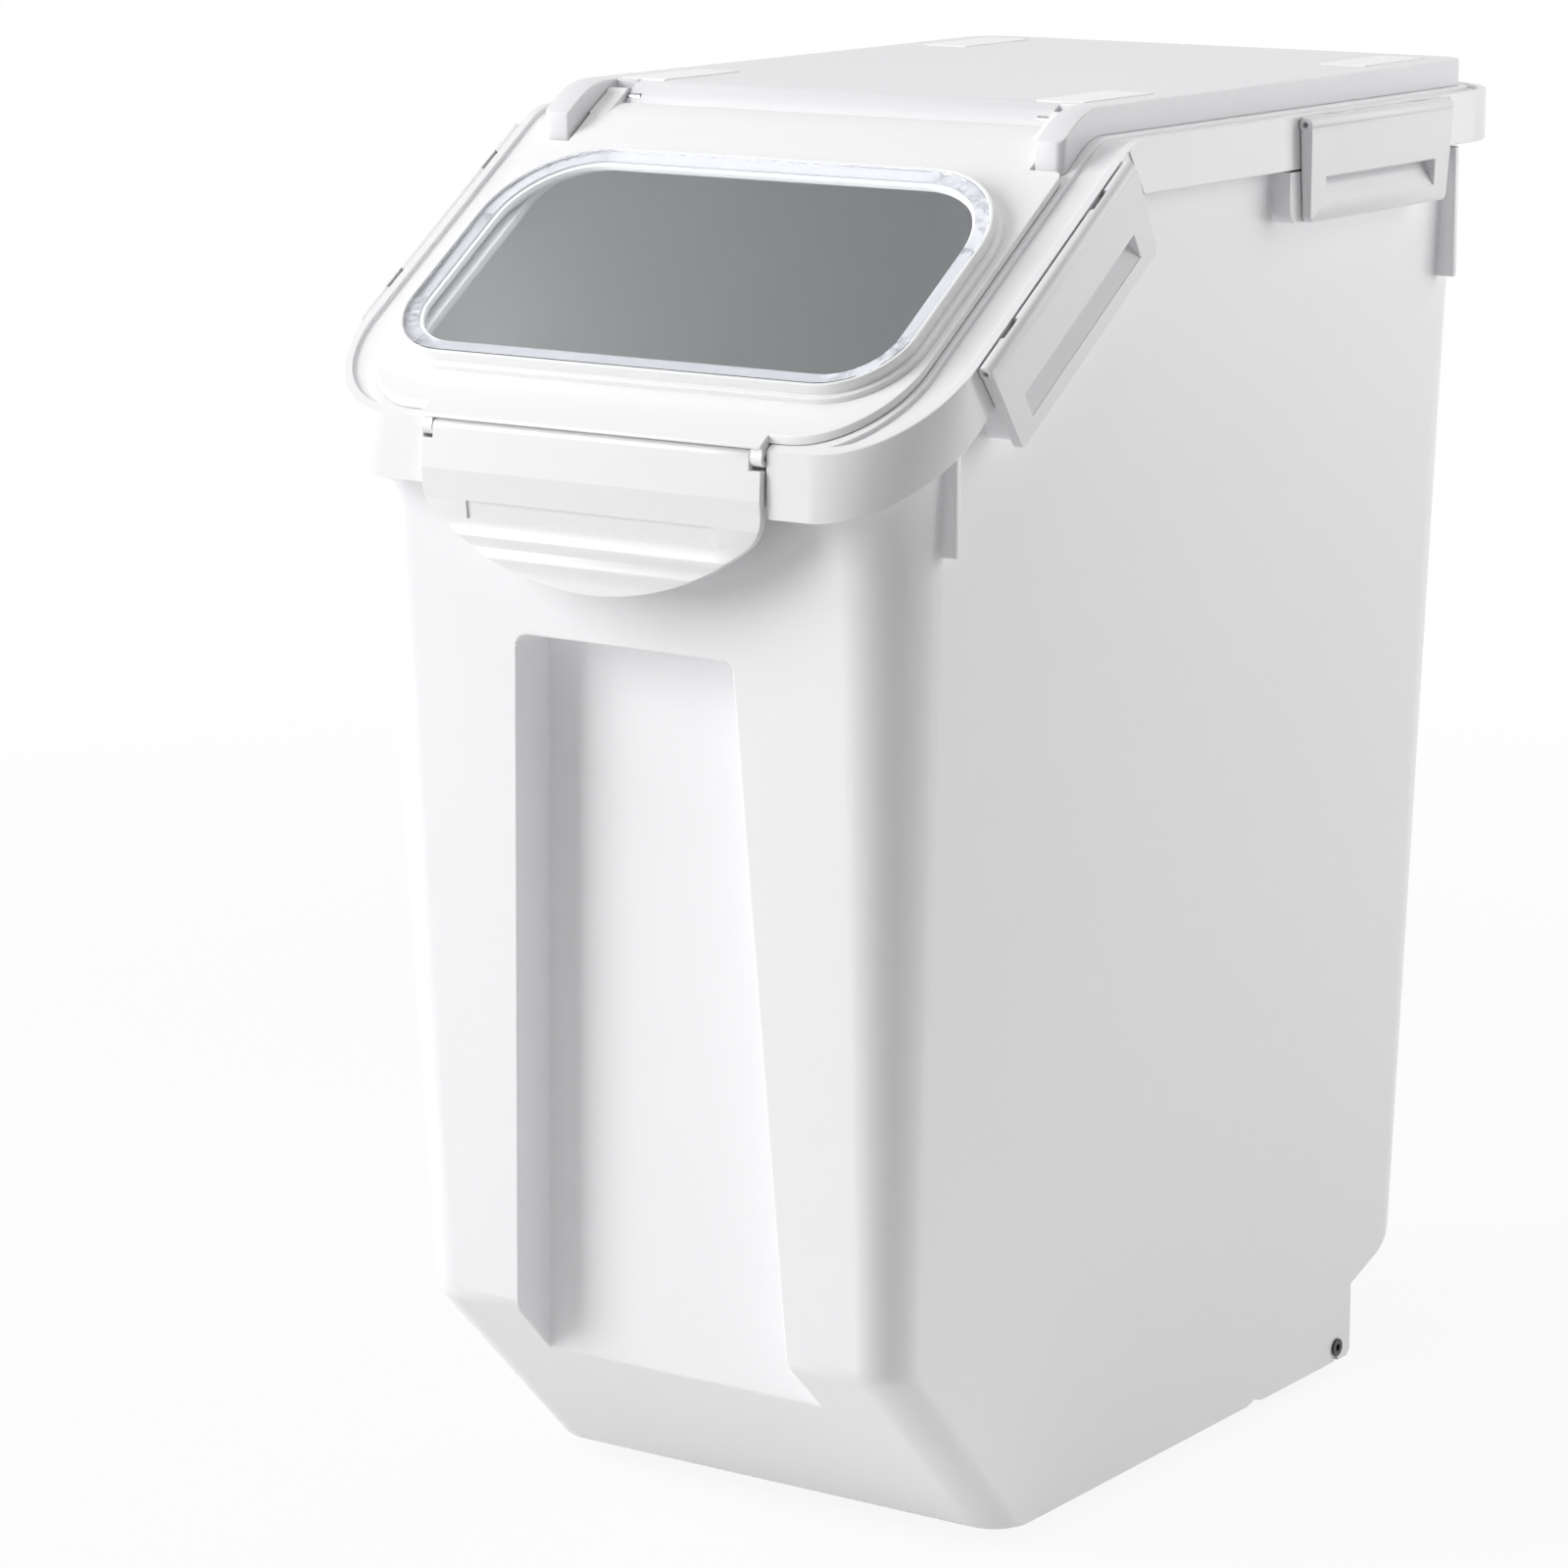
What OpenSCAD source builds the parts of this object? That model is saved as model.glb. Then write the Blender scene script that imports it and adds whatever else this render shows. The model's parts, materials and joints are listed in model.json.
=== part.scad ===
// Rice bin with a flip lid: a drafted tub on two wheels and two feet, a lid frame clamped on by
// four side latches, a sloping lid with a window, and a front latch on that lid.
// Axes: +X right, +Y to the rear, +Z up. Origin: on the floor, under the middle of the bin.
// Every lid piece follows one side profile: a slope at the front, a bend, and a flat rear.

/* [Overall] */
// Height from the floor to the top of the rear cover
bin_h = 456; // [446:1:470]
// Width over the lid frame
frame_w = 227; // [221:1:236]
// Depth of the lid frame, front to rear
frame_d = 384; // [374:1:396]
// Drop of the slope from the flat rear to the front edge
slope_drop = 84; // [78:1:92]
// Slope of the front, in degrees
slope = 34; // [33:0.5:36]
// Radius of the bend between slope and flat rear
bend_r = 22; // [19:1:26]

/* [Tub] */
// Gap under the tub, which the feet and wheels fill
foot_h = 6; // [5:0.5:9]
// Wall of the tub
wall = 2.5; // [2:0.1:3]
// How much narrower than the frame the tub's base is, at each side
base_taper = 25; // [20:1:29]
// Overhang of the lid frame beyond the tub at each side
side_overhang = 6; // [5:0.5:7]
// Overhang of the lid frame at the front, at the top of the slope
front_overhang = 6.5; // [5:0.5:8]
// Overhang of the lid frame at the rear, the lifting grip
rear_overhang = 18; // [14:1:21]
// Lean of the front wall, in degrees
front_draft = 3.3; // [2.5:0.1:4]
// Lean of the rear wall, in degrees
rear_draft = 1.2; // [0.8:0.1:2]
// Height of the front chamfer's fold above the base
front_fold = 68; // [58:1:76]
// Angle of the front chamfer, in degrees
front_chamfer = 45; // [40:1:50]
// Height of the rear chamfer's fold above the base
rear_fold = 35; // [33:1:40]
// Angle of the rear chamfer, in degrees
rear_chamfer = 20.5; // [19:0.5:24]
// Radius of the tub's upright corners at the rim
corner_top_r = 26; // [20:1:30]
// Radius of the tub's upright corners at the base
corner_base_r = 12; // [9:1:15]
// Radius of the folds across the tub
fold_r = 9; // [5:1:12]
// Thickness of the tub's rim flange
flange_t = 2.5; // [2:0.1:3]

/* [Front recess] */
// Depth of the recess in the front wall
recess_depth = 17; // [12:1:20]
// Width of the recess at its top
recess_top_w = 81; // [70:1:92]
// Width of the recess at its lower end
recess_low_w = 106; // [96:1:116]
// Distance of the recess's top below the front edge
recess_down = 67; // [61:1:90]
// Height of the recess's lower end above the base, where it runs out on the chamfer
recess_low = 40; // [34:1:44]
// Radius of the recess's top corners
recess_r = 4; // [2:0.5:6]

/* [Lid frame] */
// Thickness of the frame's top plate
plate_t = 3; // [2.5:0.1:3.5]
// Thickness of the frame's skirt
skirt_t = 3; // [2.5:0.1:3.5]
// Height of the frame's skirt, square to the profile
skirt_h = 17; // [15:0.5:18]
// Corner radius of the frame at the front
frame_front_r = 36; // [30:1:40]
// Corner radius of the frame at the rear
frame_rear_r = 38; // [32:1:42]
// Depth of the rim that locates the frame inside the tub
locate_h = 11; // [9:0.5:14]
// Thickness of that rim
locate_t = 2; // [1.6:0.1:2.4]
// Distance of the mouth inside the window's edge, at each side
mouth_side = 7; // [6:0.5:12]
// Start of the mouth, up the slope from the front
mouth_start = 20; // [18:1:24]
// Corner radius of the mouth
mouth_r = 22; // [16:1:28]

// Width of the raised rim along the frame's outer edge
frame_rim_w = 3; // [2.4:0.1:3.6]
// Depth of the gutter inside that rim
gutter_depth = 1.3; // [0.8:0.1:1.6]

/* [Gaskets] */
// Thickness of the gasket between tub and frame
rim_gasket_t = 2; // [1.5:0.1:2.5]
// Width of the gasket between tub and frame
rim_gasket_w = 3.2; // [2.4:0.1:3.4]
// Width of the gasket around the mouth
mouth_gasket_w = 3; // [2.4:0.1:3.6]
// Depth of its groove
mouth_gasket_groove = 1; // [0.8:0.1:1.4]
// Distance of its groove from the mouth
mouth_gasket_out = 5; // [4:0.5:6]

/* [Rear cover] */
// Height of the cover above the frame
cover_rise = 9; // [8:0.5:11]
// Distance of the cover from the frame's edge, at each side
cover_side = 15.5; // [13:0.5:18]
// Distance of the cover's rear edge from the frame's rear edge
cover_rear_gap = 10; // [7:1:14]
// Wall of the cover
cover_t = 2.5; // [2:0.1:3]
// Corner radius of the cover at the rear
cover_r = 12; // [8:1:18]
// Length of the hinge ears in front of the lid seam
ear_len = 20; // [16:1:24]
// Width of an ear
ear_w = 10; // [8:0.5:12]
// Width of a hinge notch between an ear and the cover's front lip
notch_w = 8; // [7:0.5:10]
// Size of a stacking pad, across
pad_w = 17; // [14:1:20]
// Size of a stacking pad, front to rear
pad_d = 42; // [34:1:48]
// Thickness of a stacking pad
pad_t = 1.6; // [1.2:0.1:2]

/* [Flip lid] */
// How much wider than the cover the flip lid is, at each side
lid_side = 1; // [0:0.5:2]
// Thickness of the flip lid
lid_t = 2.2; // [1.8:0.1:2.6]
// Gap between the flip lid and the frame
lid_gap = 0.3; // [0.3:0.05:0.5]
// Corner radius of the flip lid at the front
lid_front_r = 30; // [24:1:34]
// Height of the window's plateau above the frame
window_rise = 8; // [7:0.5:10]
// Distance of the window from the flip lid's edge, at each side
window_side = 6; // [5.5:0.5:12]
// Distance of the window from the top of the slope
window_back = 29; // [26:1:36]
// Start of the window, up the slope from the front
window_start = 22; // [20:1:25]
// Corner radius of the window at the front
window_front_r = 24; // [18:1:30]
// Corner radius of the window at the rear
window_rear_r = 34; // [26:1:40]
// Thickness of the window pane
pane_t = 2; // [1.6:0.1:2.4]
// Thickness of the seal under the pane
seal_t = 0.8; // [0.6:0.1:1.2]
// Height of the hinge axis above the frame
hinge_rise = 3.6; // [3.4:0.1:4.4]
// Radius of the hinge knuckles
knuckle_r = 2.9; // [2.6:0.1:3]
// Radius of the hinge pins
hinge_pin_r = 1.5; // [1.2:0.1:1.7]
// Radius of the cover's front lip
lip_r = 11.3; // [11:0.1:12]

/* [Front latch] */
// Width of the front latch
flap_w = 126; // [110:1:132]
// Height of the front latch below its hinge
flap_h = 46.5; // [43:0.5:50]
// Thickness of the front latch
flap_t = 2.5; // [2.2:0.1:3]
// How far the front latch stands out from the frame
flap_proud = 2.4; // [2:0.1:3]
// Radius of the latch's curved lower edge
flap_curve_r = 96; // [88:1:110]
// Radius of the latch's lower corners
flap_corner_r = 13; // [8:1:16]
// Length of the hook behind the front latch
hook_w = 80; // [60:1:90]

/* [Side latches] */
// Length of a side latch
latch_len = 97; // [88:1:98]
// Height of a side latch
latch_h = 34; // [32:0.5:36]
// Thickness of a side latch at its shoulder
latch_t = 4.2; // [4:0.1:4.8]
// Thickness of a side latch at its lower edge
latch_low_t = 3; // [2.4:0.1:3.4]
// Length of the finger slot
slot_len = 74; // [66:1:78]
// Height of the finger slot
slot_h = 8.5; // [7:0.5:9]
// Depth of the finger slot
slot_depth = 4.4; // [3.6:0.1:4.8]
// Radius of the latch pins
latch_pin_r = 0.9; // [0.7:0.1:1]
// Distance of the slanted latch's middle from the end of the slope
slant_latch_back = 58; // [56:1:62]
// Distance of the flat latch's middle behind the end of the slope
flat_latch_back = 151; // [146:1:156]

/* [Feet and wheels] */
// Length of a foot
foot_len = 33; // [26:1:38]
// Width of a foot
foot_w = 12; // [10:1:14]
// Distance of the feet behind the front chamfer's lower fold
foot_back = 23; // [20:1:34]
// Radius of a wheel
wheel_r = 10; // [9.5:0.1:11]
// Width of a wheel
wheel_w = 14; // [12:0.5:15]
// Radius of an axle
axle_r = 2.2; // [1.8:0.1:2.6]
// Distance of the axles behind the rear chamfer's lower fold
axle_back = 53; // [50:1:55]

/* [Hidden] */
$fn = 48;
HULL_FN = 32;
EPS = 0.02;
FAR = 600;
BEND_STEPS = 8;
FOLD_STEPS = 3;

// Clearances
fit_gap = 0.05; // pin in its running bore
part_gap = 0.5; // pieces that pass each other
notch_gap = 0.35; // lid arm inside its hinge notch
seat_gap = 0.1; // pieces that rest on each other
frame_gap = 0.4; // flange inside the skirt
locate_gap = 0.8; // locating rim inside the tub

// Heights and depths of the frame
ledge_z = bin_h - cover_rise;
front_h = ledge_z - slope_drop;
y_front = -(frame_d - flap_proud) / 2;
y_rear = y_front + frame_d;
slope_len = slope_drop / sin(slope);
corner_y = y_front + slope_len * cos(slope);
bend_y = corner_y + bend_r * tan(slope / 2);
bend_z = ledge_z - bend_r;
rim_d = -plate_t - rim_gasket_t; // top of the tub's rim, from the profile

// Widths and the cover's rear edge
cover_rear_y = y_rear - cover_rear_gap;
base_w = frame_w - 2 * base_taper;
cover_w = frame_w - 2 * cover_side;
ear_gap_w = cover_w - 2 * ear_w;
lip_w = ear_gap_w - 2 * notch_w;
lid_w = cover_w + 2 * lid_side;
window_w = lid_w - 2 * window_side;
window_len = slope_len - window_start - window_back;
mouth_w = window_w - 2 * mouth_side;

// Tub, as walls in side view
base_z = foot_h;
tub_top_half = frame_w / 2 - side_overhang;
tub_front_top = y_front + front_overhang;
tub_rear_top = y_rear - rear_overhang;
tub_h = ledge_z - base_z;

// Lid seam and hinge axis
seam_y = corner_y + 3.2;
hinge_y = seam_y + 3.1;
hinge_z = ledge_z + hinge_rise;
ear_half = ear_gap_w / 2;
lip_half = lip_w / 2;
ear_end_y = seam_y - ear_len;
lid_top = lid_gap + lid_t;
lid_half = lid_w / 2;

// Front latch: hinge axis and the frame's seat behind it
flap_axis_y = y_front + 0.8;
flap_axis_z = front_h - 2.5;
flap_knuckle_r = 2.6;
flap_pin_r = 1.1;
flap_half = flap_w / 2;
flap_lug_w = 4;
flap_lug_x = flap_half - flap_lug_w / 2;
nose_gap = 0.35; // lid's nose above the front latch
nose_y = y_front - flap_proud + 0.1;
nose_z = flap_axis_z + flap_knuckle_r + nose_gap;
seat_y = y_front + 4.5;
seat_low_z = front_h - 20.5;
seat_chamfer = 2;
seat_chamfer_angle = 58;
hook_gap = 0.55;

// Side latches: cross-section in (out from the frame's edge, up from its top)
latch_recess = 0.5;
latch_recess_more = 5;
latch_axis_u = 1.7;
latch_axis_w = -2.8;
latch_knuckle_r = 2.5;
latch_lug_r = 1.5;
latch_shoulder_w = -5.8;
latch_lug_v = 30;
latch_lug_len = 8;
lug_gap = 0.25; // lug inside the latch's knuckle
latch_taper = 2;
slot_top_w = -20;
bead_wall = 1.2;
catch_top_w = -skirt_h - 0.7;
catch_front_more = 9;

// Wheels
heel_y = tub_rear(base_z + rear_fold) - rear_fold / tan(rear_chamfer);
toe_y = tub_front(base_z + front_fold) + front_fold / tan(front_chamfer);
axle_y = heel_y + axle_back;
axle_z = wheel_r;
cheek_t = 3;
cheek_out_x = base_w / 2 - 1.2 - cheek_t / 2;
cheek_in_x = cheek_out_x - 26.5;
cheek_low_z = base_z - 1;
cheek_rear_y = axle_y + 10;
wheel_mid_x = cheek_out_x - 15;
axle_slot_w = 2.6;
foot_x = base_w / 2 - 9 - foot_w / 2;
foot_y = toe_y + foot_back + foot_len / 2;

// Outer faces of the tub at a height
function tub_half(z) = base_w / 2 + (tub_top_half - base_w / 2) * (z - base_z) / tub_h;
function tub_front(z) = tub_front_top + (ledge_z - z) * tan(front_draft);
function tub_rear(z) = tub_rear_top - (ledge_z - z) * tan(rear_draft);
function corner_r(z) = corner_base_r + (corner_top_r - corner_base_r) * (z - base_z) / tub_h;

// The side profile, moved square to itself by d
function bend_arc(d) = [
  for (i = [0 : BEND_STEPS])
    let (a = 90 + slope * (1 - i / BEND_STEPS))
    [bend_y + (bend_r + d) * cos(a), bend_z + (bend_r + d) * sin(a)]
];
function profile(d) = concat(
  [bend_arc(d)[0] - FAR * [cos(slope), sin(slope)]],
  bend_arc(d),
  [[FAR, ledge_z + d]]
);
function reversed(v) = [for (i = [len(v) - 1 : -1 : 0]) v[i]];

// Height of the frame's top at y, on the slope
function slope_z(y) = front_h + (y - y_front) * tan(slope);

// A corner between two walls with outward normals n1 and n2, moved out by g
function moved(p, n1, n2, g) = p + g * (n1 + n2) / (1 + n1 * n2);

// The same corner rounded: points on an arc of radius r that touches both walls
function rounded(p, n1, n2, r) =
  let (c = moved(p, n1, n2, -r), a1 = atan2(n1[1], n1[0]), a2 = atan2(n2[1], n2[0]))
  let (turn = ((a2 - a1 + 540) % 360) - 180)
  [for (i = [0 : FOLD_STEPS]) let (a = a1 + turn * i / FOLD_STEPS) c + r * [cos(a), sin(a)]];

n_front = [-cos(front_draft), -sin(front_draft)];
n_front_chamfer = [-sin(front_chamfer), -cos(front_chamfer)];
n_base = [0, -1];
n_rear_chamfer = [sin(rear_chamfer), -cos(rear_chamfer)];
n_rear = [cos(rear_draft), -sin(rear_draft)];

// Corners of the tub in side view, [y, z], grown by g, with folds of radius r
function front_corners(g, r) = concat(
  rounded(moved([toe_y, base_z], n_base, n_front_chamfer, g), n_base, n_front_chamfer, r),
  rounded(moved([tub_front(base_z + front_fold), base_z + front_fold], n_front_chamfer, n_front, g),
          n_front_chamfer, n_front, r),
  [[tub_front(ledge_z) - g, ledge_z]]
);
function rear_corners(g, r) = concat(
  rounded(moved([heel_y, base_z], n_base, n_rear_chamfer, g), n_base, n_rear_chamfer, r),
  rounded(moved([tub_rear(base_z + rear_fold), base_z + rear_fold], n_rear_chamfer, n_rear, g),
          n_rear_chamfer, n_rear, r),
  [[tub_rear(ledge_z) + g, ledge_z]]
);

// ---- Shared shapes ----

// A prism along X of an outline in (y, z)
module along_x(w) {
  rotate([90, 0, 90])
    linear_extrude(w, center = true)
      children();
}

// Everything between two offsets of the side profile
module slab(d0, d1) {
  along_x(FAR)
    polygon(concat(profile(d1), reversed(profile(d0))));
}

// Everything above one offset of the side profile
module above(d) {
  along_x(FAR)
    polygon(concat(profile(d), [[FAR, FAR + ledge_z], [-2 * FAR, FAR + ledge_z]]));
}

// A rectangle with one radius at the front corners and one at the rear
module rounded_plan(half, y0, y1, rf, rr) {
  translate([-half, y0 + rf])
    square([2 * half, y1 - y0 - rf - rr]);
  translate([rf - half, y0])
    square([2 * (half - rf), rf + EPS]);
  translate([rr - half, y1 - rr - EPS])
    square([2 * (half - rr), rr + EPS]);
  for (side = [-1, 1]) {
    translate([side * (half - rf), y0 + rf])
      circle(rf);
    translate([side * (half - rr), y1 - rr])
      circle(rr);
  }
}

// The frame's outline from above, drawn in by a distance
module frame_plan(inset) {
  rounded_plan(frame_w / 2 - inset, y_front + inset, y_rear - inset,
               frame_front_r - inset, frame_rear_r - inset);
}

// Outline of the rim that drops into the tub, drawn in by a distance
module locate_plan(inset) {
  low_z = front_h - locate_h / cos(slope) - 2;
  play = wall + locate_gap + inset;
  rounded_plan(tub_half(low_z) - play, tub_front(low_z) + play, tub_rear(ledge_z - locate_h) - play,
               corner_top_r - inset, corner_top_r - inset);
}

module upright() {
  linear_extrude(FAR)
    children();
}

// Places children on the slope: X across, Y up the slope from the front, Z square to it
module on_slope() {
  translate([0, y_front, front_h])
    rotate([slope, 0, 0])
      children();
}

module mouth_plan(grow) {
  rounded_plan(mouth_w / 2 + grow, mouth_start - grow, slope_len - 25 + grow,
               mouth_r + grow, mouth_r + grow);
}

module window_plan(grow) {
  rounded_plan(window_w / 2 + grow, window_start - grow, window_start + window_len + grow,
               window_front_r + grow, window_rear_r + grow);
}

// ---- Tub ----

// The tub's form, grown by g: drafted walls, conical corners and folds of radius r
module tub_form(g, r) {
  hull()
    for (side = [-1, 1]) {
      for (p = front_corners(g, r))
        translate([side * (tub_half(p[1]) - corner_r(p[1])), p[0] + corner_r(p[1]) + g, p[1]])
          cylinder(r = corner_r(p[1]) + g, h = EPS, $fn = HULL_FN);
      for (p = rear_corners(g, r))
        translate([side * (tub_half(p[1]) - corner_r(p[1])), p[0] - corner_r(p[1]) - g, p[1]])
          cylinder(r = corner_r(p[1]) + g, h = EPS, $fn = HULL_FN);
    }
}

// The recess in the front wall, or with grow the walls around it
module front_recess(grow) {
  top_half = recess_top_w / 2 + grow;
  low_half = recess_low_w / 2 + grow;
  top = front_h - base_z - recess_down + grow;
  translate([0, tub_front(base_z), base_z])
    rotate([front_draft, 0, 0])
      translate([0, recess_depth + grow, 0])
        rotate([90, 0, 0])
          linear_extrude(recess_depth + grow + 60) {
            polygon([[-low_half, recess_low], [low_half, recess_low], [top_half, top - recess_r],
                     [top_half - recess_r, top], [recess_r - top_half, top], [-top_half, top - recess_r]]);
            for (side = [-1, 1])
              translate([side * (top_half - recess_r), top - recess_r])
                circle(recess_r);
          }
}

// The flange around the rim, narrowed behind the front latch's seat
module rim_flange() {
  difference() {
    intersection() {
      upright()
        frame_plan(skirt_t + frame_gap);
      slab(rim_d - flange_t, rim_d);
    }
    translate([-flap_half - 2 * skirt_t, y_front - 1, 0])
      cube([flap_w + 4 * skirt_t, seat_y + skirt_t + frame_gap + 1 - y_front, FAR]);
  }
}

// Block that a side latch snaps over, in the latch's own axes
module catch_block(front_more) {
  half = latch_len / 2 - 4;
  corner = 4;
  difference() {
    translate([-16, -half - front_more, 0])
      rotate([90, 0, 90])
        linear_extrude(16 - latch_recess)
          union() {
            translate([corner, -latch_h])
              square([2 * half + front_more - corner, latch_h + catch_top_w]);
            translate([0, corner - latch_h])
              square([corner + EPS, latch_h + catch_top_w - corner]);
            translate([corner, corner - latch_h])
              circle(corner);
          }
    latch_bead(part_gap);
  }
}

// Ribs that carry the rim, one pair near the front and one near the rear
module rim_ribs() {
  rib_t = 3;
  rib_out = 3.5;
  for (side = [-1, 1]) {
    front_top = slope_z(y_front + 36) - skirt_h / cos(slope) - 0.8;
    mirror([side < 0 ? 1 : 0, 0, 0]) {
      translate([tub_half(front_top) - 8, y_front + 34.5, front_top - 36])
        cube([8 + rib_out, rib_t, 36]);
      translate([tub_half(ledge_z) - 8, y_rear - 45, ledge_z - skirt_h - 45])
        cube([8 + rib_out, rib_t, 44]);
    }
  }
}

// Cheeks that carry the axles under the rear chamfer, with a snap slot up to each axle
module wheel_cheeks() {
  for (side = [-1, 1])
    mirror([side < 0 ? 1 : 0, 0, 0])
      for (x = [cheek_out_x, cheek_in_x])
        difference() {
          translate([x, 0, 0])
            along_x(cheek_t)
              polygon([[heel_y - 6, base_z + 1], [heel_y, cheek_low_z], [cheek_rear_y - 2, cheek_low_z],
                       [cheek_rear_y, cheek_low_z + 2],
                       [cheek_rear_y, base_z + (cheek_rear_y - heel_y) * tan(rear_chamfer) + 1.5]]);
          translate([x, axle_y, axle_z])
            rotate([0, 90, 0])
              cylinder(r = axle_r, h = 4 * cheek_t, center = true);
          translate([x - 2 * cheek_t, axle_y - axle_slot_w / 2, -1])
            cube([4 * cheek_t, axle_slot_w, axle_z + 1]);
        }
}

module foot_sockets() {
  for (side = [-1, 1])
    translate([side * foot_x, foot_y, base_z - 1])
      cylinder(r = 2.5, h = 1 + wall - 1);
}

module tub() {
  color([0.95, 0.95, 0.96])
    difference() {
      union() {
        tub_form(0, fold_r);
        rim_flange();
        on_each_latch(false)
          catch_block(0);
        on_each_latch(true)
          catch_block(catch_front_more);
        rim_ribs();
        wheel_cheeks();
      }
      difference() {
        tub_form(-wall, fold_r);
        front_recess(wall);
      }
      front_recess(0);
      above(rim_d);
      foot_sockets();
    }
}

module foot(side) {
  end_r = foot_w / 2;
  color([0.9, 0.9, 0.91])
    translate([side * foot_x, foot_y, 0]) {
      linear_extrude(foot_h) {
        square([foot_w, foot_len - foot_w], center = true);
        for (end = [-1, 1])
          translate([0, end * (foot_len / 2 - end_r)])
            circle(end_r);
      }
      cylinder(r = 2.5, h = foot_h + wall - 1.2);
    }
}

// ---- Wheels ----

module axle(side) {
  head_r = 3.1;
  color([0.12, 0.12, 0.13])
    mirror([side < 0 ? 1 : 0, 0, 0])
      translate([cheek_out_x + cheek_t / 2, axle_y, axle_z])
        rotate([0, -90, 0])
          difference() {
            union() {
              translate([0, 0, -0.9])
                cylinder(r = head_r, h = 0.9);
              cylinder(r = axle_r, h = cheek_out_x - cheek_in_x + cheek_t + 0.8);
            }
            translate([0, 0, -1])
              cylinder(r = 1.3, h = 1.6);
          }
}

module wheel_hub(side) {
  boss_r = 3.8;
  inner_r = wheel_r - 2.6;
  boss_len = cheek_out_x - cheek_in_x - cheek_t - 2 * part_gap;
  boss_mid = (cheek_out_x + cheek_in_x) / 2;
  color([0.16, 0.16, 0.17])
    mirror([side < 0 ? 1 : 0, 0, 0])
      difference() {
        union() {
          translate([wheel_mid_x, axle_y, axle_z])
            rotate([0, 90, 0])
              cylinder(r = inner_r, h = wheel_w - 2, center = true);
          translate([boss_mid, axle_y, axle_z])
            rotate([0, 90, 0])
              cylinder(r = boss_r, h = boss_len, center = true);
        }
        translate([boss_mid, axle_y, axle_z])
          rotate([0, 90, 0])
            cylinder(r = axle_r + fit_gap, h = boss_len + 2, center = true);
      }
}

module tyre(side) {
  inner_r = wheel_r - 2.6;
  crown = 0.8;
  color([0.08, 0.08, 0.08])
    mirror([side < 0 ? 1 : 0, 0, 0])
      translate([wheel_mid_x, axle_y, axle_z])
        rotate([0, 90, 0])
          rotate_extrude()
            polygon([[inner_r, -wheel_w / 2], [wheel_r - crown, -wheel_w / 2], [wheel_r, crown - wheel_w / 2],
                     [wheel_r, wheel_w / 2 - crown], [wheel_r - crown, wheel_w / 2], [inner_r, wheel_w / 2]]);
}

// ---- Lid frame ----

// Gasket that the frame presses on the tub's rim
module rim_gasket_plan(inset) {
  side = skirt_t + 2.8 + inset;
  rounded_plan(frame_w / 2 - side, seat_y + skirt_t + 1.1 + inset, y_rear - side,
               frame_front_r - side, frame_rear_r - side);
}

module rim_gasket() {
  color([0.86, 0.86, 0.88])
    intersection() {
      upright()
        difference() {
          rim_gasket_plan(0);
          rim_gasket_plan(rim_gasket_w);
        }
      slab(rim_d, -plate_t);
    }
}

// Rounded seat for the front latch: the frame's skirt stepped back, with a sloped lower edge
module flap_seat() {
  run = seat_chamfer * tan(seat_chamfer_angle);
  half = flap_half + part_gap + skirt_t;
  difference() {
    intersection() {
      along_x(2 * half)
        polygon([[seat_y, FAR], [seat_y, seat_low_z + run], [seat_y + seat_chamfer, seat_low_z],
                 [seat_y + skirt_t, seat_low_z], [seat_y + skirt_t, FAR]]);
      slab(-skirt_h - 8, 0);
    }
  }
  for (side = [-1, 1])
    intersection() {
      translate([side * (half - skirt_t / 2) - skirt_t / 2, y_front, 0])
        cube([skirt_t, seat_y + skirt_t - y_front, FAR]);
      slab(-skirt_h, 0);
      upright()
        frame_plan(0);
    }
}

// Lugs that hold a side latch's pin, each on a neck from the skirt, hidden inside the latch
module side_latch_lugs() {
  for (end = [-1, 1])
    translate([0, end * latch_lug_v, 0])
      rotate([90, 0, 0])
        linear_extrude(latch_lug_len, center = true)
          translate([latch_axis_u, latch_axis_w])
            difference() {
              union() {
                circle(latch_lug_r);
                polygon([[-3.6, -0.9], [-3.6, -3.3], [-0.4, -latch_lug_r + EPS], [0.3, 0], [-1.2, -0.6]]);
              }
              circle(latch_pin_r);
            }
}

// Puts children at each side latch, in the latch's own axes: X out, Y along, Z up from the edge
module on_latch(side, flat) {
  mirror([side < 0 ? 1 : 0, 0, 0])
    if (flat)
      translate([frame_w / 2, corner_y + flat_latch_back, ledge_z])
        children();
    else
      translate([frame_w / 2, 0, 0])
        on_slope()
          translate([0, slope_len - slant_latch_back, 0])
            children();
}

module on_each_latch(flat) {
  for (side = [-1, 1])
    on_latch(side, flat)
      children();
}

// Shallow seat that the latch lies in, cut from the frame's skirt, with a groove for its knuckle
module latch_recess_cut() {
  half = latch_len / 2 + latch_recess_more;
  translate([-latch_recess, -half, -FAR / 4])
    cube([10, 2 * half, FAR / 4 - 0.6]);
  translate([latch_axis_u, 0, latch_axis_w])
    rotate([90, 0, 0])
      cylinder(r = latch_knuckle_r + 0.3, h = latch_len + 2 * part_gap, center = true);
}

// Gutter between the raised rim and the lid and cover, from above
module gutter_plan() {
  difference() {
    frame_plan(frame_rim_w);
    rounded_plan(lid_half + 2, y_front, cover_rear_y + 1.5, lid_front_r + 2, cover_r + 1.5);
  }
}

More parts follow.
